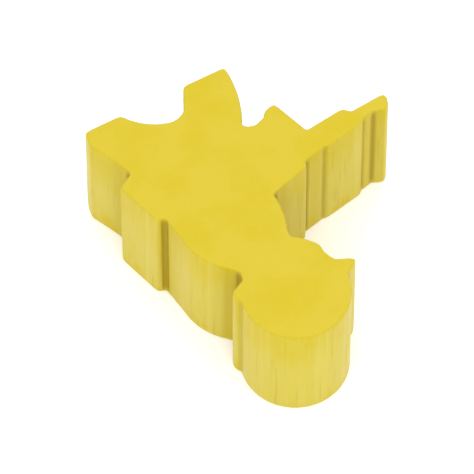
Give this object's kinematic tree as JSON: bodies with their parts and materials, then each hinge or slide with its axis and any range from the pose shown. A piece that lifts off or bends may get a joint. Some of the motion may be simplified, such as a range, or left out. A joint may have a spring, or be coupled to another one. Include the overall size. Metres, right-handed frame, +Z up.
{
  "type": "meeple",
  "caption": "Wooden game piece cut in profile: a helmeted figure leaning forward with a long prop held out in front, painted all over.",
  "frame": {"origin": "middle of the piece's own box in X and Y, on the sawn face that it lies on", "axes": "+Z up through the thickness, from one sawn face to the other; +Y from the soles to the head; the long prop points to -X"},
  "size_m": [0.0174, 0.0194, 0.008],
  "materials": {
    "painted_wood": "satin yellow paint, opaque on the sawn faces and thinner on the cut sides"
  },
  "bodies": {
    "root": {"meeple_body": "painted_wood"}
  },
  "joints": []
}
